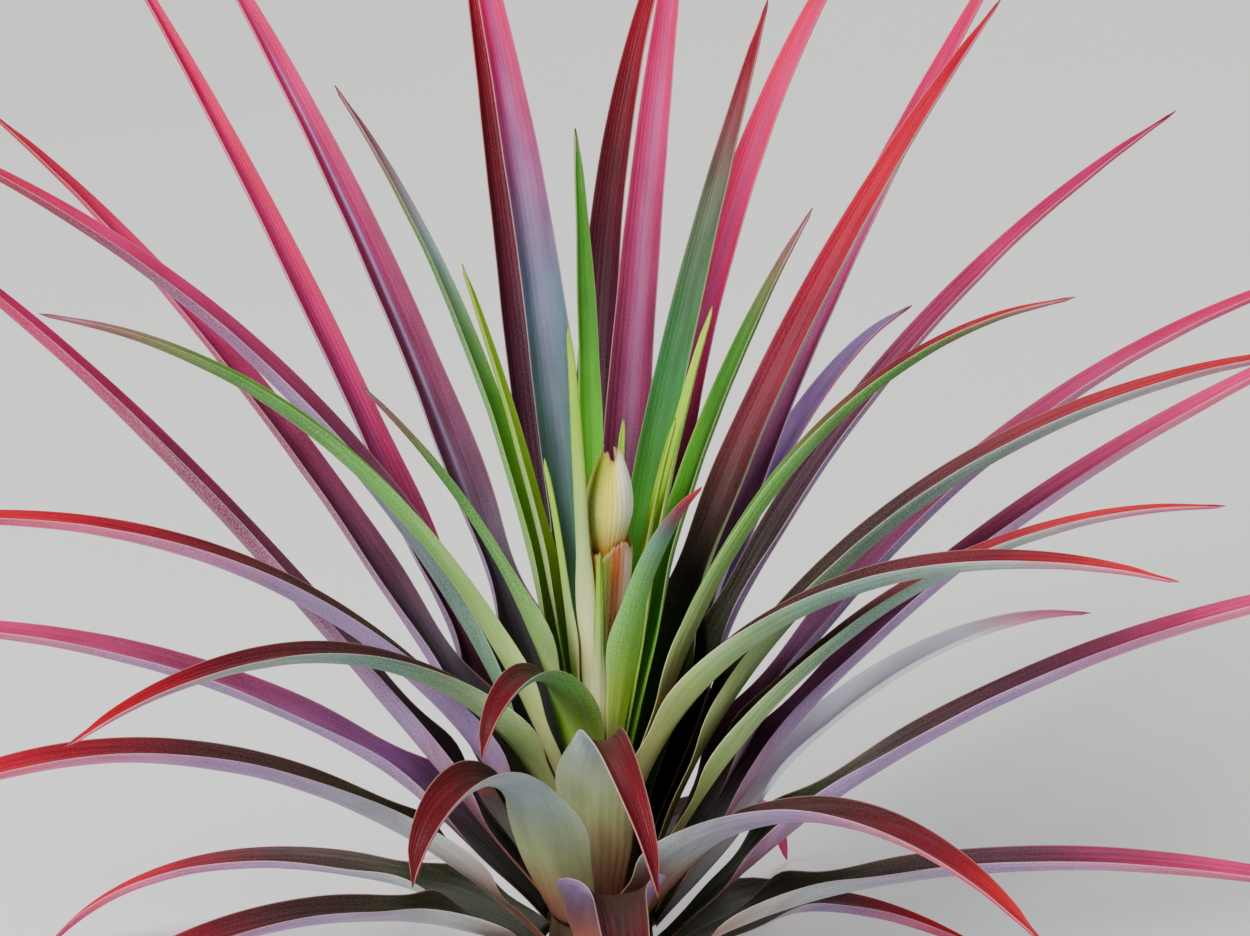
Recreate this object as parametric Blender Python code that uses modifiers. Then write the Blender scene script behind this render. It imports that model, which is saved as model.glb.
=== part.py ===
"""A tillandsia: a rosette of narrow channelled leaves, clasping a short woody stem, with a young flower spike in its
heart. Metres, +Z up. The stem stands on its flat underside at z = 0, on the rosette's axis, and the lowest leaves
reach down to the same surface. Bearings turn anticlockwise from +X, seen from above; the front is at -Y."""

import math
from collections import namedtuple

import bmesh
import bpy
import numpy as np
from mathutils.bvhtree import BVHTree

for old in list(bpy.data.objects):
    bpy.data.objects.remove(old, do_unlink=True)

MM = 0.001

# Stem: (radius, height) of its turned outline in mm, from the flat underside to the rounded top of the flower stalk.
STEM_OUTLINE = (
    (0.0, 0.0),
    (11.2, 0.0),
    (12.0, 0.8),
    (12.4, 4.0),
    (10.8, 22.0),
    (7.8, 46.0),
    (2.7, 71.0),
    (2.1, 73.0),
    (2.0, 78.0),
    (1.7, 106.0),
    (1.3, 118.0),
    (0.6, 119.2),
    (0.0, 119.4),
)
STEM_SIDES = 20
MERGE = 0.001

# All leaves, in mm and degrees. A sheath is widest SHEATH_WIDEST from its root and ends at SHEATH_END, or at
# SHEATH_MOST of a short leaf; a leaf that leaves the stem level has a sheath FLAT_SHEATH as long. Each half of it wraps
# at most SHEATH_WRAP round the stem, and each half of the blade bends up by CHANNEL. The change from wrapped sheath to
# channelled blade runs over CHANNEL_FROM to CHANNEL_BY of the sheath's length.
BLADE_THICK = 0.65
GAP = 0.3
COLUMNS = 4
SHEATH_WIDEST = 14.0
SHEATH_END = 42.0
SHEATH_MOST = 0.4
FLAT_SHEATH = 0.45
SHEATH_WRAP = 38
ROOT_SHARE = 0.6
CHANNEL = 68
CHANNEL_FROM = 0.45
CHANNEL_BY = 1.1
TIP_HALF = 0.55
TAPER = 2.3
FOOT_ROWS = 3
SHEATH_ROWS = (23.0, 33.0)
BLADE_ROWS = 8
FINE_STEPS = 160

# Heights of the roots on the stem, in mm: the heart's leaves stand HEART_STEP apart and the rest ROOT_STEP.
TOP_ROOT = 72.0
HEART_LEAVES = 14
HEART_STEP = 1.3
ROOT_STEP = 1.08
LOWEST_ROOT = 3.0
LONGEST_NECK = 12.0

# The resting leaves: height of their lowest points over the surface, and the room they keep besides the gap, in mm.
LOWEST = 0.3
RESTING_ROOM = 0.3
HALVINGS = 24

# The small changes that bring a leaf clear of those inside it: lower root in mm, lean of the tip and turn about the
# stem in degrees. LEAN_FOR_MM degrees of lean, or TURN_FOR_MM of turn, count as much as 1 mm of drop.
DROPS = (0.0, 0.6, 1.2, 1.8, 2.4, 3.0, 3.6, 4.2, 5.0, 6.0, 7.0, 8.0, 9.0, 10.0, 12.0, 14.0, 16.0)
LEANS = (0.0, -2.0, 2.0, -4.0, 4.0, -7.0, 7.0, -11.0, 11.0)
TURNS = (0.0, 1.5, -1.5, 3.0, -3.0, 5.0, -5.0, 8.0, -8.0, 12.0, -12.0, 16.0, -16.0)
LEAN_FOR_MM = 2.0
TURN_FOR_MM = 1.5

# Leaf colours, from the heart's pale green to the dried lowest leaves.
YOUNG = ("young", (0.46, 0.60, 0.20))
GREEN = ("green", (0.34, 0.46, 0.20))
OLIVE = ("olive", (0.27, 0.28, 0.17))
MAUVE = ("mauve", (0.42, 0.25, 0.33))
WINE = ("wine", (0.40, 0.13, 0.19))
OLD = ("old", (0.24, 0.16, 0.15))

Leaf = namedtuple("Leaf", "bearing swing length start middle end blade sheath tint rests root neck")
Leaf.__new__.__defaults__ = (False, 0.0, 0.0)

# From the innermost leaf to the outermost: bearing at the root and its swing by the tip, length, rise at the root,
# halfway and at the tip, half-widths of the blade and of the sheath laid flat, tint.
LEAVES = (
    Leaf(235, 0, 84, 85, 86, 84, 1.9, 2.1, YOUNG),
    Leaf(62, 0, 60, 85, 85, 82, 1.3, 1.9, YOUNG),
    Leaf(205, 0, 58, 84, 83, 80, 1.4, 1.8, YOUNG),
    Leaf(18, 0, 65, 83, 80, 75, 1.7, 2.1, YOUNG),
    Leaf(270, 0, 42, 84, 84, 82, 1.3, 1.8, YOUNG),
    Leaf(302, 0, 74, 82, 65, 42, 3.5, 3.0, YOUNG),
    Leaf(163, 0, 102, 83, 76, 72, 2.6, 3.0, YOUNG),
    Leaf(25, 0, 93, 81, 78, 73, 2.6, 3.2, YOUNG),
    Leaf(101, 0, 127, 85, 83, 66, 3.2, 3.8, GREEN),
    Leaf(210, 0, 102, 76, 62, 48, 2.7, 3.2, GREEN),
    Leaf(32, 0, 120, 80, 68, 55, 3.8, 4.4, GREEN),
    Leaf(158, 0, 149, 81, 71, 54, 4.0, 4.4, GREEN),
    Leaf(240, 0, 63, 78, 36, -78, 5.2, 5.8, GREEN),
    Leaf(63, 0, 164, 80, 63, 55, 5.0, 5.8, OLIVE),
    Leaf(109, 0, 205, 78, 64, 42, 6.2, 6.2, MAUVE),
    Leaf(350, 0, 148, 74, 56, 14, 5.2, 6.2, GREEN),
    Leaf(200, 0, 163, 71, 50, 16, 5.4, 6.2, GREEN),
    Leaf(334, 0, 144, 73, 29, -2, 6.8, 8.0, WINE),
    Leaf(180, 0, 204, 72, 48, 23, 6.8, 7.4, MAUVE),
    Leaf(79, 0, 205, 77, 65, 42, 6.0, 6.2, MAUVE),
    Leaf(46, 0, 190, 74, 52, 38, 5.6, 6.4, OLIVE),
    Leaf(217, 0, 138, 72, 22, -20, 6.0, 7.0, OLIVE),
    Leaf(131, 0, 220, 66, 53, 40, 6.0, 6.6, MAUVE),
    Leaf(26, 0, 188, 72, 48, 26, 5.0, 7.0, MAUVE),
    Leaf(354, 0, 184, 72, 39, 8, 6.8, 7.4, OLIVE),
    Leaf(70, -26, 220, 70, 57, 38, 5.6, 6.6, WINE),
    Leaf(93, -38, 205, 68, 62, 54, 5.6, 6.6, WINE),
    Leaf(203, 0, 180, 70, 33, 1, 6.4, 7.6, WINE),
    Leaf(51, 0, 215, 69, 52, 44, 5.4, 7.0, MAUVE),
    Leaf(345, 0, 150, 65, 40, 6, 5.4, 7.6, OLIVE),
    Leaf(166, 0, 196, 57, 51, 35, 6.0, 7.2, MAUVE),
    Leaf(106, 0, 205, 61, 63, 56, 5.6, 7.0, WINE),
    Leaf(138, 0, 220, 60, 55, 47, 5.0, 7.0, WINE),
    Leaf(188, 0, 212, 54, 51, 37, 6.8, 7.6, MAUVE),
    Leaf(259, 34, 106, 84, 32, -76, 5.4, 7.8, WINE),
    Leaf(12, 0, 204, 65, 41, 10, 5.8, 7.4, MAUVE),
    Leaf(53, 0, 150, 64, 47, 2, 4.6, 6.4, MAUVE),
    Leaf(236, 0, 84, 62, 40, -84, 7.6, 9.2, WINE),
    Leaf(4, 0, 208, 62, 38, 23, 6.2, 7.6, MAUVE),
    Leaf(310, 0, 134, 57, 19, -24, 7.0, 9.6, MAUVE),
    Leaf(174, 0, 176, 53, 17, -4, 6.2, 8.0, MAUVE),
    Leaf(207, 0, 176, 49, 19, -32, 7.0, 8.8, MAUVE),
    Leaf(20, 0, 116, 51, 32, -8, 5.6, 8.0, MAUVE),
    Leaf(350, 0, 192, 50, 29, 10, 6.6, 8.6, OLIVE),
    Leaf(275, 0, 92, 74, 0, -60, 6.8, 9.2, OLD),
    Leaf(219, 0, 144, 33, 7, -34, 6.4, 8.2, OLD),
    Leaf(334, 0, 168, 36, 14, -2, 6.4, 8.4, WINE),
    Leaf(165, 0, 122, 20, -6, -24, 5.4, 8.0, OLD, True),
    Leaf(118, 0, 92, 42, -12, -24, 5.4, 8.4, OLD, True),
    Leaf(62, 0, 90, 42, -12, -24, 5.4, 8.4, OLD, True),
    Leaf(294, 0, 110, 38, -10, -24, 5.6, 8.4, OLD, True),
    Leaf(240, 0, 108, 38, -10, -24, 5.6, 8.4, OLD, True),
    Leaf(20, 0, 82, 32, -14, -24, 5.4, 7.6, OLD, True),
)

# The flower spike leans towards +X: from SPIKE_FOOT up, by SPIKE_LEAN at SPIKE_TOP, in mm.
SPIKE_FOOT = 73.0
SPIKE_TOP = 128.0
SPIKE_LEAN = 2.2

# Bracts of the flower spike, in mm and degrees: height of the foot, length, bearing of the middle, how far it wraps,
# radius at the foot, where it is widest and at the rim, the share of its length where it is widest, depth of the torn
# notches in the rim, thickness, colour. The upper one stands in the lower one's rim and closes to a bud.
Bract = namedtuple("Bract", "name foot length bearing wraps foot_out wide_out rim_out widest notch thick colour")
BRACTS = (
    Bract("bract_lower", 73.0, 37.0, 255, 300, 2.9, 5.0, 5.0, 0.9, 3.2, 0.7, (0.50, 0.36, 0.16)),
    Bract("bract_upper", 103.0, 25.0, 285, 300, 2.7, 4.7, 1.5, 0.5, 2.2, 0.7, (0.70, 0.66, 0.34)),
)
BRACT_SIDES = 16
BRACT_ROWS = 10
BRACT_TEETH = 3


def smooth(a, b, value):
    """0 below a, 1 above b, and an even change between."""
    t = np.clip((value - a) / (b - a), 0.0, 1.0)
    return t * t * (3.0 - 2.0 * t)


def stem_radius(height):
    sides = STEM_OUTLINE[2:-1]
    return float(np.interp(height, [point[1] for point in sides], [point[0] for point in sides]))


def sheath_end(leaf):
    steep = math.sin(math.radians(leaf.start))
    return min(SHEATH_END * (FLAT_SHEATH + (1 - FLAT_SHEATH) * steep), SHEATH_MOST * leaf.length)


def midrib(leaf):
    """Along the leaf: distance from the root, the midrib's points, its rise and its bearing. The neck is a straight
    stretch below the sheath, by which a leaf is rooted lower on the stem than it would be in an empty place."""
    along = np.linspace(0.0, leaf.neck + leaf.length, FINE_STEPS + 1)
    t = np.clip((along - leaf.neck) / leaf.length, 0.0, 1.0)
    rise = np.radians(
        leaf.start * (1 - t) * (1 - 2 * t) + leaf.middle * 4 * t * (1 - t) + leaf.end * t * (2 * t - 1)
    )
    bearing = np.radians(leaf.bearing + leaf.swing * t * t)
    ahead = np.stack(
        [np.cos(rise) * np.cos(bearing), np.cos(rise) * np.sin(bearing), np.sin(rise)], axis=1
    )
    out = stem_radius(leaf.root) + GAP + BLADE_THICK / 2
    first = np.array([out * math.cos(bearing[0]), out * math.sin(bearing[0]), leaf.root])
    steps = (ahead[:-1] + ahead[1:]) / 2 * (along[-1] / FINE_STEPS)
    return along, np.vstack([first, first + np.cumsum(steps, axis=0)]), rise, bearing


def half_width(leaf, along):
    """Half the leaf's width laid flat: the sheath swells, narrows into the blade, and that tapers to the tip."""
    end = sheath_end(leaf)
    along = np.maximum(along - leaf.neck, 0.0)
    widest = SHEATH_WIDEST * end / SHEATH_END
    swell = ROOT_SHARE + (1 - ROOT_SHARE) * smooth(0.0, widest, along)
    narrow = smooth(widest, end, along)
    reach = np.clip((along - end) / (leaf.length - end), 0.0, 1.0)
    blade = TIP_HALF + (leaf.blade - TIP_HALF) * (1 - reach**TAPER)
    return leaf.sheath * swell * (1 - narrow) + blade * narrow


def leaf_surface(leaf, rows, columns):
    """Points and upper normals of the leaf's middle surface, for distances from the root and shares of the width.
    The sheath curves round the stem's axis, and the blade is a channel, open upwards."""
    along, points, rise, bearing = midrib(leaf)
    middle = np.stack([np.interp(rows, along, points[:, axis]) for axis in range(3)], axis=1)
    rise = np.interp(rows, along, rise)
    bearing = np.interp(rows, along, bearing)
    half = half_width(leaf, rows)
    end = sheath_end(leaf)
    blade = smooth(CHANNEL_FROM * end, CHANNEL_BY * end, rows - leaf.neck)
    out = np.hypot(middle[:, 0], middle[:, 1])
    channel = math.radians(CHANNEL)
    wrap = np.minimum(half / out, math.radians(SHEATH_WRAP)) * (1 - blade) + channel * blade
    bow = out * (1 - blade) + half / channel * blade
    level = 0 * bearing
    side = np.stack([-np.sin(bearing), np.cos(bearing), level], axis=1)
    inward = np.stack([-np.cos(bearing), -np.sin(bearing), level], axis=1)
    above = inward * np.sin(rise)[:, None] + np.stack([level, level, np.cos(rise)], axis=1)
    lift = inward * (1 - blade)[:, None] + above * blade[:, None]
    lift /= np.linalg.norm(lift, axis=1)[:, None]
    turn = (wrap[:, None] * columns[None, :])[:, :, None]
    bow = bow[:, None, None]
    side, lift, middle = side[:, None, :], lift[:, None, :], middle[:, None, :]
    return (
        middle + bow * np.sin(turn) * side + bow * (1 - np.cos(turn)) * lift,
        np.cos(turn) * lift - np.sin(turn) * side,
    )


def grid_places(leaf):
    end = sheath_end(leaf)
    foot = np.linspace(0.0, leaf.neck + SHEATH_WIDEST * end / SHEATH_END, FOOT_ROWS)
    sheath = leaf.neck + np.array(SHEATH_ROWS) * end / SHEATH_END
    blade = leaf.neck + np.linspace(end, leaf.length, BLADE_ROWS)
    return np.concatenate([foot, sheath, blade]), np.linspace(-1.0, 1.0, COLUMNS + 1)


def slab(points, normals, half_thick):
    """Corners and triangles of a sheet of this half thickness, to find where sheets would touch."""
    high, wide = points.shape[:2]
    count = high * wide
    corners = np.vstack(
        [(points + normals * shift).reshape(-1, 3) for shift in (half_thick, -half_thick)]
    )
    faces = []
    for row in range(high - 1):
        for a in range(row * wide, row * wide + wide - 1):
            for b in (a, a + count):
                faces += [(b, b + 1, b + 1 + wide), (b, b + 1 + wide, b + wide)]
        for a in (row * wide, row * wide + wide - 1):
            faces += [(a, a + wide, a + wide + count), (a, a + wide + count, a + count)]
    for row in (0, high - 1):
        for a in range(row * wide, row * wide + wide - 1):
            faces += [(a, a + 1, a + 1 + count), (a, a + 1 + count, a + count)]
    return corners, faces


def leaf_slab(leaf, half_thick):
    return slab(*leaf_surface(leaf, *grid_places(leaf)), half_thick)


def laid_down(leaf):
    """A resting leaf, its rise at the tip chosen so that its lowest point lies just above the surface."""
    low, high = -89.0, leaf.middle
    for _ in range(HALVINGS):
        end = (low + high) / 2
        lowest = leaf_slab(leaf._replace(end=end), BLADE_THICK / 2)[0][:, 2].min()
        low, high = (end, high) if lowest < LOWEST else (low, end)
    return leaf._replace(end=high)


def small_changes():
    """Every small change as (drop, lean, turn), from the least to the greatest."""
    found = [
        (drop + abs(lean) / LEAN_FOR_MM + abs(turn) / TURN_FOR_MM, drop, lean, turn)
        for drop in DROPS
        for lean in LEANS
        for turn in TURNS
    ]
    return [change[1:] for change in sorted(found)]


def settle(leaves, inside):
    """Each leaf in turn, moved by the least change that brings it clear of the sheets inside it."""
    settled, corners, faces = [], [], []

    def add(sheet):
        first = len(corners)
        corners.extend(sheet[0].tolist())
        faces.extend(tuple(corner + first for corner in face) for face in sheet[1])

    for sheet in inside:
        add(sheet)
    changes = small_changes()
    for number, leaf in enumerate(leaves):
        heart, rest = min(number, HEART_LEAVES), max(number - HEART_LEAVES, 0)
        ladder = TOP_ROOT - HEART_STEP * heart - ROOT_STEP * rest
        leaf = leaf._replace(root=max(ladder, LOWEST_ROOT))
        inner = BVHTree.FromPolygons(corners, faces)
        for drop, lean, turn in changes:
            root = max(leaf.root - drop, LOWEST_ROOT)
            trial = leaf._replace(
                bearing=leaf.bearing + turn,
                middle=leaf.middle + lean / 2,
                end=leaf.end + lean,
                root=root,
                neck=min((leaf.root - root) / math.sin(math.radians(leaf.start)), LONGEST_NECK),
            )
            if trial.rests:
                trial = laid_down(trial)
            room = GAP + (RESTING_ROOM if trial.rests else 0.0)
            fat_corners, fat_faces = leaf_slab(trial, BLADE_THICK / 2 + room)
            fat = BVHTree.FromPolygons(fat_corners.tolist(), fat_faces)
            over_surface = fat_corners[:, 2].min() + room > LOWEST - GAP
            if over_surface and not inner.overlap(fat):
                break
        else:
            raise ValueError(f"leaf {number + 1} finds no clear place")
        settled.append(trial)
        add(leaf_slab(trial, BLADE_THICK / 2))
    return settled


def material(name, colour, roughness):
    made = bpy.data.materials.new(name)
    made.use_nodes = True
    shader = made.node_tree.nodes["Principled BSDF"]
    shader.inputs["Base Color"].default_value = (*colour, 1.0)
    shader.inputs["Roughness"].default_value = roughness
    shader.inputs["Metallic"].default_value = 0.0
    return made


def place(obj, paint):
    obj.data.materials.append(paint)
    plant.objects.link(obj)
    for face in obj.data.polygons:
        face.use_smooth = True
    return obj


def grid_sheet(name, points, thick):
    """An open sheet, split into triangles, moved onto these rows of points and given its thickness."""
    rows, columns = points.shape[:2]
    mesh = bpy.data.meshes.new(name)
    sheet = bmesh.new()
    bmesh.ops.create_grid(sheet, x_segments=columns - 1, y_segments=rows - 1, size=0.5)
    bmesh.ops.triangulate(sheet, faces=sheet.faces)
    for corner in sheet.verts:
        column = round((corner.co.x + 0.5) * (columns - 1))
        row = round((corner.co.y + 0.5) * (rows - 1))
        corner.co = points[row, column] * MM
    sheet.to_mesh(mesh)
    sheet.free()
    obj = bpy.data.objects.new(name, mesh)
    shell = obj.modifiers.new("thickness", "SOLIDIFY")
    shell.thickness = thick * MM
    shell.offset = 0.0
    return obj


def spike_lean(height):
    """How far the spike's middle stands towards +X of the plant's axis at a height, in mm."""
    return SPIKE_LEAN * np.maximum(0.0, (height - SPIKE_FOOT) / (SPIKE_TOP - SPIKE_FOOT))


def turned(name, outline, sides):
    """A solid turned about the vertical axis, its top leaning with the spike."""
    solid = bmesh.new()
    corners = [solid.verts.new((out, 0.0, height)) for out, height in outline]
    edges = [solid.edges.new(pair) for pair in zip(corners, corners[1:])]
    bmesh.ops.spin(
        solid, geom=corners + edges, cent=(0, 0, 0), axis=(0, 0, 1), angle=2 * math.pi, steps=sides, use_merge=True
    )
    bmesh.ops.remove_doubles(solid, verts=solid.verts, dist=MERGE)
    bmesh.ops.recalc_face_normals(solid, faces=solid.faces)
    for corner in solid.verts:
        corner.co.x += float(spike_lean(corner.co.z))
        corner.co *= MM
    mesh = bpy.data.meshes.new(name)
    solid.to_mesh(mesh)
    solid.free()
    return bpy.data.objects.new(name, mesh)


def bract_surface(bract):
    """Points and outward normals of a bract wrapped round the stalk; its rim is torn into a few rounded teeth."""
    across = np.linspace(0.0, 1.0, BRACT_SIDES + 1)[None, :]
    share = np.linspace(0.0, 1.0, BRACT_ROWS)[:, None] + 0 * across
    turn = np.radians(bract.bearing + bract.wraps * (across - 0.5)) + 0 * share
    tear = bract.notch * (0.5 - 0.5 * np.cos(2 * math.pi * BRACT_TEETH * across))
    height = bract.foot + share * (bract.length - tear)
    closing = np.clip((share - bract.widest) / (1.0 - bract.widest), 0.0, 1.0)
    out = bract.foot_out + (bract.wide_out - bract.foot_out) * smooth(0.0, bract.widest, share)
    out -= (bract.wide_out - bract.rim_out) * (1.0 - np.cos(math.pi / 2 * closing))
    rise, widening = np.gradient(height, axis=0), np.gradient(out, axis=0)
    normals = np.stack([rise * np.cos(turn), rise * np.sin(turn), -widening], axis=2)
    normals /= np.linalg.norm(normals, axis=2, keepdims=True)
    points = np.stack([out * np.cos(turn) + spike_lean(height), out * np.sin(turn), height], axis=2)
    return points, normals


plant = bpy.data.collections.new("tillandsia")
bpy.context.scene.collection.children.link(plant)

place(turned("stem", STEM_OUTLINE, STEM_SIDES), material("stem", (0.36, 0.27, 0.17), 0.8))

bracts = [bract_surface(bract) for bract in BRACTS]
for bract, (points, _) in zip(BRACTS, bracts):
    place(grid_sheet(bract.name, points, bract.thick), material(bract.name, bract.colour, 0.7))

leaves = settle(LEAVES, [slab(*sheet, bract.thick / 2) for bract, sheet in zip(BRACTS, bracts)])
for number, leaf in enumerate(leaves):
    points, _ = leaf_surface(leaf, *grid_places(leaf))
    name = f"leaf_{number + 1:02d}_{leaf.tint[0]}"
    place(grid_sheet(name, points, BLADE_THICK), material(name, leaf.tint[1], 0.6))
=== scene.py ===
"""Looks of a tillandsia: a rosette of narrow channelled leaves on a short woody stem, with a flower spike.
Metres, +Z up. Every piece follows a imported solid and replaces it."""

import math

import bmesh
import bpy
import numpy as np
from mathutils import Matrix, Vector, noise


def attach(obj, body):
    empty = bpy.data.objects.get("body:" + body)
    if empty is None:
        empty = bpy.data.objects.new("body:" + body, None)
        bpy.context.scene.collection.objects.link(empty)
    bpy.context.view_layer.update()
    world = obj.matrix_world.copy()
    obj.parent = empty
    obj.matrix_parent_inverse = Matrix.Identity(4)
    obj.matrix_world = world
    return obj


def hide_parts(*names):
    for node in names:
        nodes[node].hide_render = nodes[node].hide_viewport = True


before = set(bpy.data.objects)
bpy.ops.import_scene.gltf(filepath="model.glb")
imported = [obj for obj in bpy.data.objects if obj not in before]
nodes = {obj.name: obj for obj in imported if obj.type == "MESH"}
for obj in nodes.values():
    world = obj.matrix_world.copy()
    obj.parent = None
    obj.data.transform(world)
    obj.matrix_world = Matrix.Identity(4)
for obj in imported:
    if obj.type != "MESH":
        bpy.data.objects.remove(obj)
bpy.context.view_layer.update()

# Stem. A short woody stump, wrapped in dry fibre where old leaves came away, that narrows to the green stalk
# of the flower spike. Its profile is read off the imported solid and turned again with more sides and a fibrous
# surface.
STEM_SIDES = 96
STEM_STEP = 0.0008
FIBRE_DEEP = 0.00025
FIBRE_LEVEL = 0.7
# Noise of the fibres: how fine round the stem, how fine up it, and its share.
FIBRE_NOISES = ((9, 60, 1.0), (22, 140, 0.5))
STALK_FROM = 0.066
STALK_SMOOTHER = 6
THIN_STALK = 0.002


def in_light(seen):
    """Colours as the eye sees them, from 0 to 255, as shares of light."""
    share = np.clip(np.asarray(seen, float), 3, 252) / 255
    light = np.where(share <= 0.04045, share / 12.92, ((share + 0.055) / 1.055) ** 2.4)
    return np.concatenate([light, np.ones(light.shape[:-1] + (1,))], axis=-1)


def colour(*seen):
    return tuple(in_light(seen))


def add(tree, kind, *sources, **settings):
    """A node with its settings. Its inputs are linked or set in order, and None leaves one as it is."""
    made = tree.nodes.new(kind)
    for name, value in settings.items():
        setattr(made, name, value)
    for socket, source in zip([socket for socket in made.inputs if socket.enabled], sources):
        if isinstance(source, bpy.types.Node):
            source = next(out for out in source.outputs if out.enabled)
        if isinstance(source, bpy.types.NodeSocket):
            tree.links.new(source, socket)
        elif source is not None:
            socket.default_value = source
    return made


def eased(tree, value, low, high, to_low=0.0, to_high=1.0):
    """A smooth step from one value to another as the value goes from low to high."""
    return add(
        tree, "ShaderNodeMapRange", value, low, high, to_low, to_high, interpolation_type="SMOOTHSTEP"
    )


def tinted(tree, share, first, second, blend="MIX"):
    """The colour that lies this share of the way from the first to the second."""
    mix = add(
        tree, "ShaderNodeMix", share, first, second, data_type="RGBA", blend_type=blend, clamp_factor=True
    )
    return mix.outputs[2]


def raised_by(tree, height, strength, deep, shader):
    """A bump of at most so many metres on a material."""
    bump = add(tree, "ShaderNodeBump", strength, deep)
    tree.links.new(height.outputs[0], bump.inputs["Height"])
    tree.links.new(bump.outputs[0], shader.inputs["Normal"])


def material(name):
    made = bpy.data.materials.new(name)
    made.use_nodes = True
    return made, made.node_tree, made.node_tree.nodes["Principled BSDF"]


def joined(name, points, faces):
    mesh = bpy.data.meshes.new(name)
    mesh.from_pydata([tuple(point) for point in points], [], faces)
    mesh.update()
    piece = bpy.data.objects.new(name, mesh)
    bpy.context.scene.collection.objects.link(piece)
    return piece


def handed_in(piece, node):
    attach(piece, "root")
    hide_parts(node)


def stem_profile():
    """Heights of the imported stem's rings, with the radius and the middle's place along X of each."""
    corners = np.array([vert.co for vert in nodes["stem"].data.vertices])
    heights = np.unique(np.round(corners[:, 2], 5))
    rings = [corners[np.abs(corners[:, 2] - height) < 0.00001] for height in heights]
    middles = [(ring[:, 0].max() + ring[:, 0].min()) / 2 for ring in rings]
    outs = [np.hypot(ring[:, 0] - middle, ring[:, 1]).max() for ring, middle in zip(rings, middles)]
    return heights, outs, middles


def stem_points():
    heights, outs, middles = stem_profile()
    levels = np.arange(heights[0], heights[-1], STEM_STEP)
    turns = np.linspace(0.0, 2 * math.pi, STEM_SIDES, endpoint=False)
    points = [(0.0, 0.0, heights[0])]
    for level in levels:
        out, middle = np.interp(level, heights, outs), np.interp(level, heights, middles)
        for turn in turns:
            fibre = 0.0
            for fine, up, share in FIBRE_NOISES:
                fibre += share * noise.noise((fine * math.cos(turn), fine * math.sin(turn), up * level))
            deep = FIBRE_DEEP if level < STALK_FROM else FIBRE_DEEP / STALK_SMOOTHER
            far = out - deep * (FIBRE_LEVEL - fibre) * min(1.0, out / THIN_STALK)
            points.append((middle + far * math.cos(turn), far * math.sin(turn), level))
    points.append((middles[-1], 0.0, heights[-1]))
    return points, len(levels)


points, rings = stem_points()
faces = []
for side in range(STEM_SIDES):
    after = (side + 1) % STEM_SIDES
    faces.append((0, 1 + after, 1 + side))
    for ring in range(rings - 1):
        low = 1 + ring * STEM_SIDES
        faces.append((low + side, low + after, low + STEM_SIDES + after, low + STEM_SIDES + side))
    last = 1 + (rings - 1) * STEM_SIDES
    faces.append((last + side, last + after, len(points) - 1))
stem = joined("woody_stem", points, faces)
stem.data.polygons.foreach_set("use_smooth", [True] * len(stem.data.polygons))

bark, tree, shader = material("bark")
place = add(tree, "ShaderNodeTexCoord").outputs["Object"]
fibres = add(tree, "ShaderNodeVectorMath", place, (900.0, 900.0, 60.0), operation="MULTIPLY")
fibres = add(tree, "ShaderNodeTexNoise", fibres, 1.0, 4.0, 0.6)
height = add(tree, "ShaderNodeSeparateXYZ", place).outputs["Z"]
woody = tinted(tree, fibres, colour(44, 30, 20), colour(134, 106, 74))
green = tinted(tree, fibres, colour(112, 122, 54), colour(156, 166, 88))
bark_colour = tinted(tree, eased(tree, height, 0.06, 0.075), woody, green)
tree.links.new(bark_colour, shader.inputs["Base Color"])
shader.inputs["Roughness"].default_value = 0.85
raised_by(tree, fibres, 0.7, 0.0003, shader)
stem.data.materials.append(bark)
handed_in(stem, "stem")

# Leaf sheets. Each leaf is one long tapering blade, folded lengthwise into a channel, with a broad sheath
# that clasps the stem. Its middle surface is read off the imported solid: rows of five points from the root to
# the tip, through which a smooth sheet is drawn with a rounder channel and a finer point.
LEAF_RIBS = 5
SHARP = math.radians(56)
STEP_ALONG = 0.0022
STEP_ACROSS = 0.0005
FEWEST_ROWS = 30
FEWEST_HALF_COLUMNS = 8
TIP_FROM = 0.93
FINE_TIP = 0.35
SHOULDER_PASSES = 5


def broad_sides(solid):
    """The two broad sides of a leaf's solid: the largest parts of its faces, parted along its sharp edges."""
    left = set(solid.faces)
    parts = []
    while left:
        part = [left.pop()]
        for face in part:
            for edge in face.edges:
                if edge.calc_face_angle() < SHARP:
                    beyond = [other for other in edge.link_faces if other in left]
                    left.difference_update(beyond)
                    part.extend(beyond)
        parts.append(set(part))
    return sorted(parts, key=len)[-2:]


def rim_loop(side):
    """The corners round the rim of a broad side, in order."""
    edges = [edge for face in side for edge in face.edges]
    rim = [edge for edge in edges if sum(face in side for face in edge.link_faces) == 1]
    loop = [rim[0].verts[0], rim[0].verts[1]]
    spare = set(rim) - {rim[0]}
    while spare:
        edge = next(edge for edge in spare if loop[-1] in edge.verts)
        spare.discard(edge)
        loop.append(edge.other_vert(loop[-1]))
    return loop[:-1]


def levels(side, start):
    """How many edges each corner of a broad side is from the start."""
    found = {vert: 0 for vert in start}
    ring = list(start)
    while ring:
        after = []
        for vert in ring:
            for face in set(vert.link_faces) & side:
                for other in face.verts:
                    if other not in found:
                        found[other] = found[vert] + 1
                        after.append(other)
        ring = after
    return found


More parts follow.
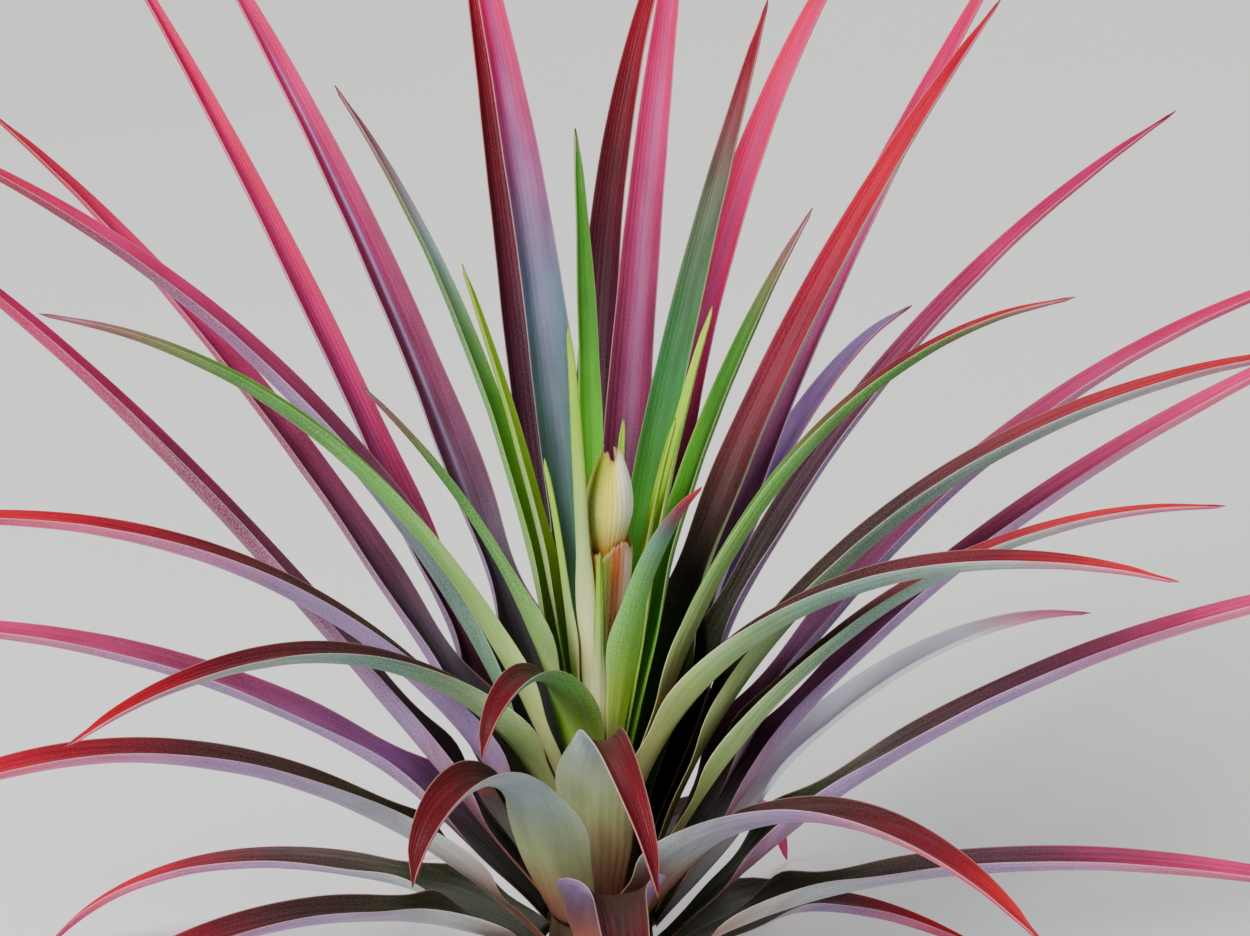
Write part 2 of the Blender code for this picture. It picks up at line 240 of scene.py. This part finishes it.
def rib_grid(side, ribs):
    """A broad side as rows of points, from the root to the tip. A leaf's root is its wide end, a bract's its
    low end."""
    loop = rim_loop(side)
    wide = ribs - 1
    long = len(loop) // 2 - wide

    def turned(i):
        here = loop[i % len(loop)].co
        return (here - loop[i - 1].co).angle(loop[(i + 1) % len(loop)].co - here)

    def corner_places(i):
        return [i, i + wide, i + wide + long, i + 2 * wide + long]

    first = max(range(len(loop)), key=lambda i: sum(turned(at % len(loop)) for at in corner_places(i)))
    a, b, c, d = (loop[at % len(loop)].co for at in corner_places(first))
    if (c.z < a.z) if ribs > LEAF_RIBS else ((c - d).length > (a - b).length):
        first += wide + long
    foot = [loop[(first + step) % len(loop)] for step in range(wide + 1)]
    flank = [loop[(first - step) % len(loop)] for step in range(long + 1)]
    row, column = levels(side, foot), levels(side, flank)
    grid = np.full((long + 1, wide + 1, 3), np.nan)
    for vert in row:
        grid[row[vert], column[vert]] = vert.co
    return grid


def middle_grid(node, ribs):
    """The middle surface of a solid, its columns ordered so that across x along points out of the channel."""
    solid = bmesh.new()
    solid.from_mesh(nodes[node].data)
    bmesh.ops.remove_doubles(solid, verts=solid.verts, dist=1e-6)
    solid.normal_update()
    one, other = (rib_grid(side, ribs) for side in broad_sides(solid))
    solid.free()
    if np.linalg.norm(one[0, 0] - other[0, 0]) > np.linalg.norm(one[0, 0] - other[0, -1]):
        other = other[:, ::-1]
    middle = (one + other) / 2
    centre = ribs // 2
    opens = (middle[:, 0] + middle[:, -1]) / 2 - middle[:, centre]
    crosswise = middle[1:-1, centre + 1] - middle[1:-1, centre - 1]
    lengthwise = middle[2:, centre] - middle[:-2, centre]
    out = np.cross(crosswise, lengthwise)
    return middle if (out * opens[1:-1]).sum() > 0 else middle[:, ::-1]


def drawn_through(knots, values, at):
    """Natural cubic curves through the values at the knots, read off at other places."""
    step = np.diff(knots)
    flat = values.reshape(len(knots), -1)
    slope = np.diff(flat, axis=0) / step[:, None]
    system = np.eye(len(knots))
    bend = np.zeros_like(flat)
    for i in range(1, len(knots) - 1):
        system[i, i - 1 : i + 2] = step[i - 1], 2 * (step[i - 1] + step[i]), step[i]
        bend[i] = 6 * (slope[i] - slope[i - 1])
    bend = np.linalg.solve(system, bend)
    i = np.clip(np.searchsorted(knots, at, side="right") - 1, 0, len(step) - 1)
    width = step[i][:, None]
    done = (np.asarray(at) - knots[i])[:, None]
    to_go = width - done
    curve = (bend[i] * to_go**3 + bend[i + 1] * done**3) / (6 * width)
    curve += (flat[i] / width - bend[i] * width / 6) * to_go
    curve += (flat[i + 1] / width - bend[i + 1] * width / 6) * done
    return curve.reshape(len(at), *values.shape[1:])


def ease(value, low, high):
    share = np.clip((value - low) / (high - low), 0.0, 1.0)
    return share * share * (3 - 2 * share)


def fine_sheet(node):
    """(points, across, along) of a leaf's smooth middle sheet, the shoulders of its sheath eased."""
    middle = middle_grid(node, LEAF_RIBS)
    run = np.linalg.norm(np.diff(middle[:, LEAF_RIBS // 2], axis=0), axis=1)
    far = np.concatenate([[0.0], np.cumsum(run)])
    length = far[-1]
    rows = max(FEWEST_ROWS, math.ceil(length / STEP_ALONG))
    along = np.linspace(0.0, 1.0, rows + 1)
    ribs = drawn_through(far, middle, along * length)
    widest = np.linalg.norm(ribs[:, -1] - ribs[:, 0], axis=1).max()
    columns = 2 * math.ceil(max(FEWEST_HALF_COLUMNS, widest * 1.3 / STEP_ACROSS / 2))
    even = np.linspace(-1.0, 1.0, columns + 1)
    across = 0.45 * even + 0.55 * np.sin(math.pi / 2 * even)
    knots = np.linspace(-1.0, 1.0, LEAF_RIBS)
    points = drawn_through(knots, ribs.transpose(1, 0, 2), across).transpose(1, 0, 2)
    centre = points[:, columns // 2 : columns // 2 + 1]
    aside = points - centre
    for _ in range(SHOULDER_PASSES):
        aside[1:-1] = (aside[:-2] + 2 * aside[1:-1] + aside[2:]) / 4
    pinch = 1 - (1 - FINE_TIP) * ease(along, TIP_FROM, 1.0)
    return centre + aside * pinch[:, None, None], across, along


# Leaf blades. Living leaf, stiff and leathery, about half a millimetre thick: fine ribs run from root to tip,
# the keel is a little thicker and the margins thin out to a rounded edge. One tree turns a sheet into such a
# blade.
LEAF_SIZES = {
    "Thickness": 0.00062,
    "Ribs": 9.0,
    "Rib Depth": 0.00004,
    "Keel": 0.00012,
    "Unevenness": 0.00025,
}
UNEVEN_GRAIN = 55.0
WELD = 0.000001
BLADE_INPUTS = (
    ("Sheet", "Geometry"),
    ("Thickness", "Float"),
    ("Ribs", "Float"),
    ("Rib Depth", "Float"),
    ("Keel", "Float"),
    ("Unevenness", "Float"),
    ("Material", "Material"),
)


def sums(tree, operation, *sources):
    return add(tree, "ShaderNodeMath", *sources, operation=operation)


def product(tree, first, *others):
    """All the sources multiplied, one after the other."""
    for other in others:
        first = sums(tree, "MULTIPLY", first, other)
    return first


def blade_tree():
    tree = bpy.data.node_groups.new("blade", "GeometryNodeTree")
    for name, kind in BLADE_INPUTS:
        tree.interface.new_socket(name, in_out="INPUT", socket_type="NodeSocket" + kind)
    tree.interface.new_socket("Blade", in_out="OUTPUT", socket_type="NodeSocketGeometry")
    given = tree.nodes.new("NodeGroupInput").outputs
    across = add(tree, "GeometryNodeInputNamedAttribute", "across", data_type="FLOAT")
    along = add(tree, "GeometryNodeInputNamedAttribute", "along", data_type="FLOAT")
    off_centre = sums(tree, "ABSOLUTE", across)
    normal = tree.nodes.new("GeometryNodeInputNormal")
    ends = product(tree, eased(tree, along, 0.0, 0.008), eased(tree, along, 0.985, 1.0, 1.0, 0.0))

    wave = sums(tree, "SINE", product(tree, across, given["Ribs"], math.pi))
    inside = eased(tree, off_centre, 0.75, 1.0, 1.0, 0.0)
    ribs = product(tree, wave, given["Rib Depth"], inside)
    patches = add(tree, "ShaderNodeTexNoise", None, UNEVEN_GRAIN, 1.0, 0.5, noise_dimensions="3D")
    uneven = product(tree, sums(tree, "SUBTRACT", patches, 0.5), given["Unevenness"], 2.0, ends)
    drift = add(tree, "ShaderNodeVectorMath", normal, operation="SCALE")
    tree.links.new(sums(tree, "ADD", ribs, uneven).outputs[0], drift.inputs["Scale"])
    ribbed = add(tree, "GeometryNodeSetPosition", given["Sheet"], None, None, drift)

    inwards = sums(tree, "SUBTRACT", 1.0, sums(tree, "POWER", off_centre, 6.0))
    rounded = sums(tree, "SQRT", sums(tree, "MAXIMUM", inwards, 0.0))
    half = product(tree, product(tree, given["Thickness"], 0.5), product(tree, rounded, ends))
    keel = product(tree, eased(tree, off_centre, 0.0, 0.3, 1.0, 0.0), product(tree, given["Keel"], ends))
    below = product(tree, sums(tree, "ADD", half, keel), -1.0)
    sheets = []
    for face_down, lift in ((0.0, half), (1.0, below)):
        raised = add(tree, "ShaderNodeVectorMath", normal, operation="SCALE")
        tree.links.new(lift.outputs[0], raised.inputs["Scale"])
        sheet = add(tree, "GeometryNodeSetPosition", ribbed, None, None, raised)
        if face_down:
            sheet = add(tree, "GeometryNodeFlipFaces", sheet)
        store = "GeometryNodeStoreNamedAttribute"
        sheets.append(add(tree, store, sheet, None, "under", face_down, data_type="FLOAT", domain="FACE"))
    both = tree.nodes.new("GeometryNodeJoinGeometry")
    for sheet in reversed(sheets):
        tree.links.new(sheet.outputs[0], both.inputs[0])
    closed = add(tree, "GeometryNodeMergeByDistance", both, None, WELD)
    smooth = add(tree, "GeometryNodeSetShadeSmooth", closed, None, True)
    real = add(tree, "GeometryNodeRealizeInstances", smooth)
    finished = add(tree, "GeometryNodeSetMaterial", real, None, given["Material"])
    tree.links.new(finished.outputs[0], tree.nodes.new("NodeGroupOutput").inputs[0])
    return tree


def through_tree(piece, tree, skin, sizes):
    """Makes the piece's mesh as the tree does with these sizes and this material."""
    modifier = piece.modifiers.new(tree.name, "NODES")
    modifier.node_group = tree
    given = {**sizes, "Material": skin}
    for item in tree.interface.items_tree:
        if item.in_out == "INPUT" and item.name in given:
            modifier[item.identifier] = given[item.name]
    graph = bpy.context.evaluated_depsgraph_get()
    thin = piece.data
    made = bpy.data.meshes.new_from_object(
        piece.evaluated_get(graph), preserve_all_data_layers=True, depsgraph=graph
    )
    piece.modifiers.remove(modifier)
    piece.data = made
    bpy.data.meshes.remove(thin)


# Leaf colours. Cream where the sheath is shut away from light, then green, and flushed crimson to wine
# towards the tip. Silvery scales cover both faces, thickest underneath, in fine lengthwise streaks.
COLOURS = {
    "hot_pink": (234, 3, 96), "scarlet": (206, 3, 32), "crimson": (174, 4, 42),
    "rose": (198, 28, 102), "pink": (218, 92, 134), "mauve": (136, 40, 84), "plum": (78, 20, 48),
    "violet": (122, 70, 126), "lilac": (148, 116, 168), "steel": (98, 114, 136),
    "silver": (160, 172, 170), "bluegreen": (86, 136, 112), "green": (66, 132, 32),
    "fresh": (92, 176, 30), "lime": (158, 206, 24), "pale": (170, 204, 104),
    "cream": (240, 234, 164), "salmon": (224, 144, 122), "olive": (40, 48, 18),
    "umber": (64, 25, 24), "wine": (112, 8, 28), "dark": (32, 11, 17), "brown": (96, 50, 34),
    "grey_pink": (164, 88, 108), "ice": (238, 246, 252), "grey": (88, 78, 92),
    "milky": (206, 220, 146), "blood": (102, 3, 16), "frost": (150, 176, 176),
    "jade": (62, 140, 72), "moss": (98, 98, 80), "cerise": (208, 2, 54), "blush": (140, 28, 56),
}
# Colours at the root, a quarter, half and three quarters of the way, and at the tip.
LOOKS = {
    "heart": "cream pale lime lime lime",
    "lime": "pale lime lime lime lime",
    "green": "lime fresh fresh green green",
    "grey_tip": "lime fresh fresh green grey_pink",
    # Painted light: a paler copy of grey_tip for a leaf whose upper face is turned away from the key light.
    "pale_tip": "lime lime fresh frost grey_pink",
    "red_tip": "lime fresh green wine scarlet",
    "dusk": "fresh fresh jade moss crimson",
    "tall": "green bluegreen steel rose hot_pink",
    "streak": "moss grey mauve rose hot_pink",
    "violet": "olive violet mauve rose hot_pink",
    "grey_red": "olive grey mauve rose crimson",
    "hot": "olive plum rose hot_pink hot_pink",
    "purple": "olive plum mauve rose rose",
    "rosy": "olive olive plum rose rose",
    "curled": "olive umber umber blood blood",
    "umber": "olive olive umber crimson scarlet",
    "red": "fresh olive blush cerise cerise",
    "wine": "olive umber umber wine scarlet",
    "dark": "olive dark plum wine crimson",
    "ice": "silver ice ice ice pink",
    "fresh_under": "cream pale fresh green grey_pink",
    "pale_under": "pale bluegreen lilac mauve crimson",
    "green_under": "cream pale bluegreen silver pink",
    "lilac_under": "salmon lilac lilac pink rose",
    "rose_under": "salmon lilac mauve rose crimson",
    "lilac": "olive lilac lilac lilac lilac",
    "silver_under": "salmon silver lilac pink rose",
    "shield_under": "salmon milky frost silver crimson",
    "heart_under": "cream cream pale lime lime",
    "spike_under": "cream lime fresh bluegreen crimson",
    "old_under": "brown silver lilac pink rose",
}
STOPS = (0.03, 0.25, 0.5, 0.75, 0.97)
# Each leaf's upper and lower look, from the innermost leaf to the outermost.
LEAF_LOOKS = (
    ("heart", "heart_under"), ("heart", "heart_under"), ("heart", "heart_under"),
    ("heart", "heart_under"), ("heart", "heart_under"), ("red_tip", "spike_under"),
    ("lime", "heart_under"), ("lime", "heart_under"), ("green", "fresh_under"),
    ("green", "fresh_under"), ("grey_tip", "fresh_under"), ("pale_tip", "fresh_under"),
    ("curled", "spike_under"), ("dusk", "fresh_under"), ("tall", "pale_under"),
    ("red_tip", "fresh_under"), ("grey_tip", "fresh_under"), ("wine", "green_under"),
    ("grey_red", "pale_under"), ("purple", "lilac_under"), ("red", "green_under"),
    ("wine", "green_under"), ("streak", "lilac_under"), ("rosy", "lilac_under"),
    ("umber", "green_under"), ("hot", "lilac_under"), ("dark", "lilac_under"),
    ("umber", "lilac_under"), ("violet", "lilac_under"), ("umber", "green_under"),
    ("grey_red", "rose_under"), ("dark", "lilac_under"), ("hot", "lilac_under"),
    ("grey_red", "rose_under"), ("curled", "shield_under"), ("violet", "lilac_under"),
    ("lilac", "lilac_under"), ("curled", "shield_under"), ("violet", "lilac_under"),
    ("wine", "silver_under"), ("violet", "lilac_under"), ("umber", "silver_under"), ("ice", "ice"),
    ("rosy", "lilac_under"), ("curled", "lilac_under"), ("umber", "silver_under"),
    ("rosy", "silver_under"), ("umber", "old_under"), ("umber", "old_under"),
    ("umber", "old_under"), ("umber", "old_under"), ("umber", "old_under"), ("umber", "old_under"),
)
# The painted highlight along the middle of a channel, standing in for light glancing off it: its colour,
# how much of it some looks have, and over which share of their width.
PAINTED_SHEEN = (196, 176, 220)
PAINTED_SHEENS = {
    "tall": (0.45, 0.3),
    "streak": (0.9, 0.13),
    "hot": (0.25, 0.3),
    "purple": (0.3, 0.3),
    "violet": (0.2, 0.3),
}
SPECK_GRAIN = 95.0
# How far apart the leaves' patterns start, so that no two leaves are alike.
PATTERN_STEP = 0.37


def leaf_colours(look, across, along, shade):
    """A leaf's colours over its sheet from root to tip, with a painted highlight in its channel's middle."""
    seen = np.array([COLOURS[name] for name in LOOKS[look].split()], float) * shade
    seen = np.stack([np.interp(along, STOPS, seen[:, i]) for i in range(3)], axis=1)[:, None]
    # Painted highlight: a pale band mixed into the colours along the middle of the channel.
    most, wide = PAINTED_SHEENS.get(look, (0.0, 1.0))
    long = ease(along, 0.15, 0.45) * (1 - ease(along, 0.7, 0.92)) * most
    share = (long[:, None] * np.exp(-((across / wide) ** 2))[None, :])[:, :, None]
    return in_light(seen * (1 - share) + np.array(PAINTED_SHEEN) * share)


def stretched(tree, place, across, along, scale=1.0, detail=2.0, roughness=0.5):
    """Noise on a place, with its grain so many metres wide and long."""
    grain = (1 / across, 1 / along, 1 / across)
    spread = add(tree, "ShaderNodeVectorMath", place, grain, operation="MULTIPLY")
    return add(tree, "ShaderNodeTexNoise", spread, scale, detail, roughness, noise_dimensions="3D")


def leaf_skin():
    made, tree, shader = material("leaf")
    place = add(tree, "ShaderNodeUVMap", uv_map="blade").outputs[0]
    across = add(tree, "ShaderNodeAttribute", attribute_name="across").outputs["Fac"]
    along = add(tree, "ShaderNodeAttribute", attribute_name="along").outputs["Fac"]
    under = add(tree, "ShaderNodeAttribute", attribute_name="under").outputs["Fac"]
    upper_colour = add(tree, "ShaderNodeAttribute", attribute_name="upper_colour").outputs["Color"]
    under_colour = add(tree, "ShaderNodeAttribute", attribute_name="under_colour").outputs["Color"]
    off_centre = sums(tree, "ABSOLUTE", across)
    own = tinted(tree, under, upper_colour, under_colour)

    patches = stretched(tree, place, 0.004, 0.018, detail=3.0)
    own = tinted(tree, eased(tree, patches, 0.35, 0.7, 0.0, 0.4), own, colour(60, 44, 34), "SOFT_LIGHT")
    streaks = stretched(tree, place, 0.00035, 0.03, detail=3.0, roughness=0.6)
    streaked = eased(tree, streaks, 0.4, 0.66)
    above = sums(tree, "SUBTRACT", 1.0, under)
    # Painted shade: the middle of the channel on the upper face is darkened as if it lay in shadow.
    painted_groove_shade = product(tree, eased(tree, off_centre, 0.0, 0.35, 1.0, 0.0), above, 0.2)
    own = tinted(tree, painted_groove_shade, own, colour(40, 30, 24), "MULTIPLY")

    scales = stretched(tree, place, 0.0003, 0.00055, detail=2.0)
    flecks = eased(tree, scales, 0.44, 0.6)
    cover = sums(tree, "ADD", product(tree, under, 0.25), 0.05)
    cover = product(tree, cover, eased(tree, along, 0.05, 0.3), eased(tree, along, 0.5, 0.9, 1.0, 0.3))
    cover = product(tree, cover, sums(tree, "ADD", product(tree, flecks, 0.7), product(tree, streaked, 0.5)))
    own = tinted(tree, cover, own, colour(206, 200, 210))

    margin = product(tree, eased(tree, off_centre, 0.95, 0.99), 0.28)
    own = tinted(tree, margin, own, colour(206, 188, 160))
    dry = product(tree, eased(tree, along, 0.985, 1.0), 0.6)
    own = tinted(tree, dry, own, colour(120, 84, 58))
    dots = add(tree, "ShaderNodeTexVoronoi", place, None, SPECK_GRAIN, feature="F1", voronoi_dimensions="2D")
    picked = add(tree, "ShaderNodeSeparateColor", dots.outputs["Color"])
    specks = eased(tree, dots.outputs["Distance"], 0.015, 0.035, 0.8, 0.0)
    specks = product(tree, specks, eased(tree, picked, 0.93, 0.94))
    own = tinted(tree, specks, own, colour(236, 232, 226))
    tree.links.new(own, shader.inputs["Base Color"])

    rough = sums(tree, "ADD", product(tree, flecks, 0.16), 0.44)
    tree.links.new(rough.outputs[0], shader.inputs["Roughness"])
    shader.inputs["Subsurface Weight"].default_value = 0.12
    shader.inputs["Subsurface Scale"].default_value = 0.002
    shader.inputs["Specular IOR Level"].default_value = 0.15
    relief = sums(tree, "ADD", product(tree, streaks, 0.8), product(tree, flecks, 0.35))
    raised_by(tree, relief, 0.5, 0.00012, shader)
    return made


def sheet_piece(name, points, across, along, upper, under, shift):
    """A thin sheet as an object, with the numbers and colours that the tree and the material read."""
    rows, columns = points.shape[:2]
    index = np.arange(rows * columns).reshape(rows, columns)
    corners = [index[:-1, :-1], index[:-1, 1:], index[1:, 1:], index[1:, :-1]]
    faces = np.stack(corners, axis=2).reshape(-1, 4)
    piece = joined(name, points.reshape(-1, 3), faces.tolist())
    across_all, along_all = np.broadcast_arrays(across[None, :], along[:, None])
    for called, kind, field, values in (
        ("across", "FLOAT", "value", across_all),
        ("along", "FLOAT", "value", along_all),
        ("upper_colour", "FLOAT_COLOR", "color", upper),
        ("under_colour", "FLOAT_COLOR", "color", under),
    ):
        layer = piece.data.attributes.new(called, kind, "POINT")
        layer.data.foreach_set(field, values.astype(np.float32).ravel())
    steps_across = np.linalg.norm(np.diff(points, axis=1), axis=2)
    wide = np.concatenate([np.zeros((rows, 1)), np.cumsum(steps_across, axis=1)], axis=1)
    wide -= wide[:, columns // 2 : columns // 2 + 1]
    steps_along = np.linalg.norm(np.diff(points[:, columns // 2], axis=0), axis=1)
    far = np.concatenate([[0.0], np.cumsum(steps_along)])[:, None] + 0 * wide
    flat = np.stack([wide + shift, far + shift], axis=2).reshape(-1, 2)[faces.ravel()]
    piece.data.uv_layers.new(name="blade").data.foreach_set("uv", flat.astype(np.float32).ravel())
    return piece


blade = blade_tree()
leaf = leaf_skin()
draws = np.random.default_rng(7)
for number, node in enumerate(sorted(name for name in nodes if name.startswith("leaf_"))):
    upper_look, under_look = LEAF_LOOKS[number]
    points, across, along = fine_sheet(node)
    shade = draws.uniform(0.92, 1.06)
    upper, under = (leaf_colours(look, across, along, shade) for look in (upper_look, under_look))
    name = node.replace("leaf", "blade")
    piece = sheet_piece(name, points, across, along, upper, under, PATTERN_STEP * number)
    through_tree(piece, blade, leaf, LEAF_SIZES)
    handed_in(piece, node)

# Bracts. Two papery sheaths wrap the stalk of the young flower spike: the upper one stands in the rim of the
# lower one and closes to a bud. Each is read off its solid, rolled most of the way round, with fine veins and
# a torn rim.
BRACT_RIBS = 17
BRACT_ROWS = 61
BRACT_COLUMNS = 193
BRACT_SIZES = {
    "Thickness": 0.00045,
    "Ribs": 24.0,
    "Rib Depth": 0.00003,
    "Keel": 0.0,
    "Unevenness": 0.0001,
}
BRACT_PATTERN = 40.0
TORN = 0.06
BRACT_PLACES = (-0.85, -0.4, 0.0, 0.4, 0.8)


def bract_sheet(node):
    """(points, across, along) of a bract's smooth middle sheet, its rim torn into small ragged points."""
    middle = middle_grid(node, BRACT_RIBS)
    across, along = np.linspace(-1.0, 1.0, BRACT_COLUMNS), np.linspace(0.0, 1.0, BRACT_ROWS)
    knots = np.linspace(-1.0, 1.0, BRACT_RIBS)
    ribs = drawn_through(knots, middle.transpose(1, 0, 2), across)
    points = np.zeros((len(along), len(across), 3))
    for column, share in enumerate(across):
        ragged = noise.noise((9 * share, 0.0, middle[0, 0, 2] * 100))
        ragged += 0.6 * noise.noise((31 * share, 5.0, 0.0))
        reach = 1 - TORN * (0.5 + 0.5 * ragged) * ease(along, 0.5, 1.0)
        points[:, column] = drawn_through(np.linspace(0.0, 1.0, len(middle)), ribs[column], along * reach)
    return points, across, along


def bract_colours(points, along, tones, foot):
    """Colours round and up a bract: from its left to its right as the spike is seen, and at its foot."""
    middle = (points.max(axis=1, keepdims=True) + points.min(axis=1, keepdims=True)) / 2
    half = np.maximum(0.001, np.ptp(points[:, :, 0], axis=1)[:, None] / 2)
    aside = (points[:, :, 0] - middle[:, :, 0]) / half
    seen = np.stack([np.interp(aside, BRACT_PLACES, [tone[i] for tone in tones]) for i in range(3)], axis=2)
    low = 1 - ease(along, 0.05, 0.5)[:, None, None]
    dry = 0.7 * ease(along, 0.93, 1.0)[:, None, None]
    seen = seen * (1 - low) + np.array(foot) * low
    return in_light(seen * (1 - dry) + np.array((196, 150, 108)) * dry)


LOWER_TONES = ((196, 138, 20), (182, 130, 14), (120, 136, 20), (206, 100, 30), (250, 214, 200))
UPPER_TONES = ((148, 156, 20), (188, 196, 24), (236, 224, 40), (250, 244, 150), (252, 250, 230))
for node, foot, tones in (
    ("bract_lower", (176, 84, 10), LOWER_TONES),
    ("bract_upper", (196, 156, 14), UPPER_TONES),
):
    points, across, along = bract_sheet(node)
    own = bract_colours(points, along, tones, foot)
    piece = sheet_piece(node + "_sheath", points, across, along, own, own, BRACT_PATTERN)
    through_tree(piece, blade, leaf, BRACT_SIZES)
    handed_in(piece, node)

# Floor, light and camera. A wide pale matt floor, three large soft lights and a pale sky, seen from a little
# above, at the photo's viewing angle.
FLOOR_HALF = 6
LIT_AT = Vector((0, 0, 0.1))
corners = [(FLOOR_HALF * x, FLOOR_HALF * y, 0) for x, y in ((-1, -1), (1, -1), (1, 1), (-1, 1))]
floor = joined("floor", corners, [(0, 1, 2, 3)])
paint, tree, shader = material("pale_floor")
grain = add(tree, "ShaderNodeTexNoise", add(tree, "ShaderNodeTexCoord").outputs["Object"], 3.0, 3.0, 0.5)
tone = tinted(tree, grain, colour(226, 225, 222), colour(234, 233, 230))
tree.links.new(tone, shader.inputs["Base Color"])
shader.inputs["Roughness"].default_value = 0.9
floor.data.materials.append(paint)

for name, spot, size, watts in (
    ("key", (-0.9, -0.9, 1.3), 0.7, 48.0),
    ("fill", (1.4, -0.9, 0.7), 1.2, 8.0),
    ("back", (0.4, 1.3, 1.3), 1.0, 16.0),
):
    lamp = bpy.data.lights.new(name, "AREA")
    lamp.size = size
    lamp.energy = watts
    light = bpy.data.objects.new(name, lamp)
    bpy.context.scene.collection.objects.link(light)
    light.location = spot
    light.rotation_euler = (LIT_AT - Vector(spot)).to_track_quat("-Z", "Y").to_euler()

sky = bpy.data.worlds.new("sky")
sky.use_nodes = True
glow = sky.node_tree.nodes["Background"]
glow.inputs["Color"].default_value = (0.92, 0.95, 1.0, 1.0)
glow.inputs["Strength"].default_value = 0.24
bpy.context.scene.world = sky

AIM = Vector((0.005, 0.0, 0.123))
VIEW_DOWN = math.radians(20)
VIEW_FAR = 0.9
LENS_MM = 129.6
eye = bpy.data.cameras.new("camera")
eye.sensor_width = 36.0
eye.lens = LENS_MM
eye.clip_start = 0.01
camera = bpy.data.objects.new("camera", eye)
bpy.context.scene.collection.objects.link(camera)
camera.location = AIM + VIEW_FAR * Vector((0.0, -math.cos(VIEW_DOWN), math.sin(VIEW_DOWN)))
camera.rotation_euler = (AIM - camera.location).to_track_quat("-Z", "Y").to_euler()
bpy.context.scene.camera = camera
